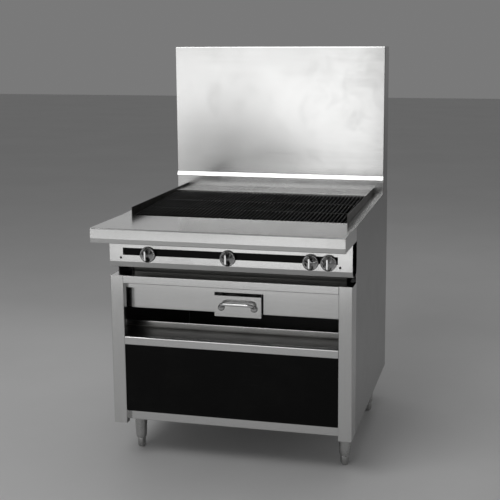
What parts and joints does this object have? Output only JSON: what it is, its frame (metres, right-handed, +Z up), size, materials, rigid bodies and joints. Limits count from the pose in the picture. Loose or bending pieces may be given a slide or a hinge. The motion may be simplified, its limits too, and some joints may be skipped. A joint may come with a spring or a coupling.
{
  "type": "charbroiler grill",
  "caption": "Floor-standing gas charbroiler with sloped cast grates, a front rail, control knobs, a grease drawer, an open shelf, a high riser and adjustable legs.",
  "frame": {"origin": "on the floor, under the middle of the outer box", "axes": "+Z up, -Y towards the cook, +X to the cook's right"},
  "size_m": [0.914, 1.067, 1.565],
  "materials": {
    "brushed_stainless": "brushed along the sheet",
    "dull_stainless": "dull brushed",
    "leg_steel": "satin",
    "chrome": "polished",
    "black_enamel": "semi-gloss black",
    "cast_iron": "seasoned, rough",
    "brass": "machined",
    "black_pipe": "black pipe"
  },
  "bodies": {
    "cabinet": {"top_front_rail": "brushed_stainless", "middle_front_rail": "brushed_stainless", "bottom_front_rail": "brushed_stainless", "left_post": "brushed_stainless", "right_post": "brushed_stainless", "front_rail": "brushed_stainless", "control_panel": "brushed_stainless", "riser_front": "brushed_stainless", "lower_splash": "brushed_stainless", "rear_ledge": "brushed_stainless", "left_ledge": "brushed_stainless", "right_ledge": "brushed_stainless", "drip_skirt": "brushed_stainless", "middle_shelf": "brushed_stainless", "left_firebox_wall": "dull_stainless", "right_firebox_wall": "dull_stainless", "front_firebox_wall": "dull_stainless", "rear_firebox_wall": "dull_stainless", "left_side_panel": "dull_stainless", "right_side_panel": "dull_stainless", "back_panel": "dull_stainless", "cabinet_floor": "dull_stainless", "riser_shell": "dull_stainless", "drip_pan": "dull_stainless", "left_drawer_guide": "dull_stainless", "right_drawer_guide": "dull_stainless", "front_left_leg": "leg_steel", "front_right_leg": "leg_steel", "rear_left_leg": "leg_steel", "rear_right_leg": "leg_steel", "lower_panel": "black_enamel", "valve_bezel": "black_enamel", "left_burner": "cast_iron", "left_radiant": "cast_iron", "centre_burner": "cast_iron", "centre_radiant": "cast_iron", "right_burner": "cast_iron", "right_radiant": "cast_iron", "left_burner_valve": "brass", "centre_burner_valve": "brass", "right_burner_valve": "brass", "pilot_valve": "brass", "gas_manifold": "black_pipe", "gas_supply_pipe": "black_pipe"},
    "left_burner_knob_body": {"left_burner_knob": "chrome"},
    "centre_burner_knob_body": {"centre_burner_knob": "chrome"},
    "right_burner_knob_body": {"right_burner_knob": "chrome"},
    "pilot_knob_body": {"pilot_knob": "chrome"},
    "drawer_body": {"grease_drawer": "brushed_stainless", "drawer_handle": "chrome"},
    "grate_1_body": {"grate_1": "cast_iron"},
    "grate_2_body": {"grate_2": "cast_iron"},
    "grate_3_body": {"grate_3": "cast_iron"},
    "grate_4_body": {"grate_4": "cast_iron"},
    "grate_5_body": {"grate_5": "cast_iron"},
    "grate_6_body": {"grate_6": "cast_iron"},
    "front_left_foot_body": {"front_left_foot": "leg_steel"},
    "front_right_foot_body": {"front_right_foot": "leg_steel"},
    "rear_left_foot_body": {"rear_left_foot": "leg_steel"},
    "rear_right_foot_body": {"rear_right_foot": "leg_steel"}
  },
  "joints": [
    {"name": "left_burner_knob_turn", "type": "hinge", "parent": "cabinet", "child": "left_burner_knob_body", "pos_m": [-0.305, -0.3765, 0.808], "axis": [0, -1, 0], "range_deg": [0, 90]},
    {"name": "centre_burner_knob_turn", "type": "hinge", "parent": "cabinet", "child": "centre_burner_knob_body", "pos_m": [0, -0.3765, 0.808], "axis": [0, -1, 0], "range_deg": [0, 90]},
    {"name": "right_burner_knob_turn", "type": "hinge", "parent": "cabinet", "child": "right_burner_knob_body", "pos_m": [0.305, -0.3765, 0.808], "axis": [0, -1, 0], "range_deg": [0, 90]},
    {"name": "pilot_knob_turn", "type": "hinge", "parent": "cabinet", "child": "pilot_knob_body", "pos_m": [0.37, -0.3765, 0.808], "axis": [0, -1, 0], "range_deg": [0, 90]},
    {"name": "drawer_slide", "type": "slide", "parent": "cabinet", "child": "drawer_body", "axis": [0, -1, 0], "range_m": [0, 0.35]},
    {"name": "grate_1_lift", "type": "slide", "parent": "cabinet", "child": "grate_1_body", "axis": [0, 0, 1], "range_m": [0, 0.12]},
    {"name": "grate_2_lift", "type": "slide", "parent": "cabinet", "child": "grate_2_body", "axis": [0, 0, 1], "range_m": [0, 0.12]},
    {"name": "grate_3_lift", "type": "slide", "parent": "cabinet", "child": "grate_3_body", "axis": [0, 0, 1], "range_m": [0, 0.12]},
    {"name": "grate_4_lift", "type": "slide", "parent": "cabinet", "child": "grate_4_body", "axis": [0, 0, 1], "range_m": [0, 0.12]},
    {"name": "grate_5_lift", "type": "slide", "parent": "cabinet", "child": "grate_5_body", "axis": [0, 0, 1], "range_m": [0, 0.12]},
    {"name": "grate_6_lift", "type": "slide", "parent": "cabinet", "child": "grate_6_body", "axis": [0, 0, 1], "range_m": [0, 0.12]},
    {"name": "front_left_foot_adjust", "type": "slide", "parent": "cabinet", "child": "front_left_foot_body", "axis": [0, 0, -1], "range_m": [0, 0.025]},
    {"name": "front_right_foot_adjust", "type": "slide", "parent": "cabinet", "child": "front_right_foot_body", "axis": [0, 0, -1], "range_m": [0, 0.025]},
    {"name": "rear_left_foot_adjust", "type": "slide", "parent": "cabinet", "child": "rear_left_foot_body", "axis": [0, 0, -1], "range_m": [0, 0.025]},
    {"name": "rear_right_foot_adjust", "type": "slide", "parent": "cabinet", "child": "rear_right_foot_body", "axis": [0, 0, -1], "range_m": [0, 0.025]}
  ]
}
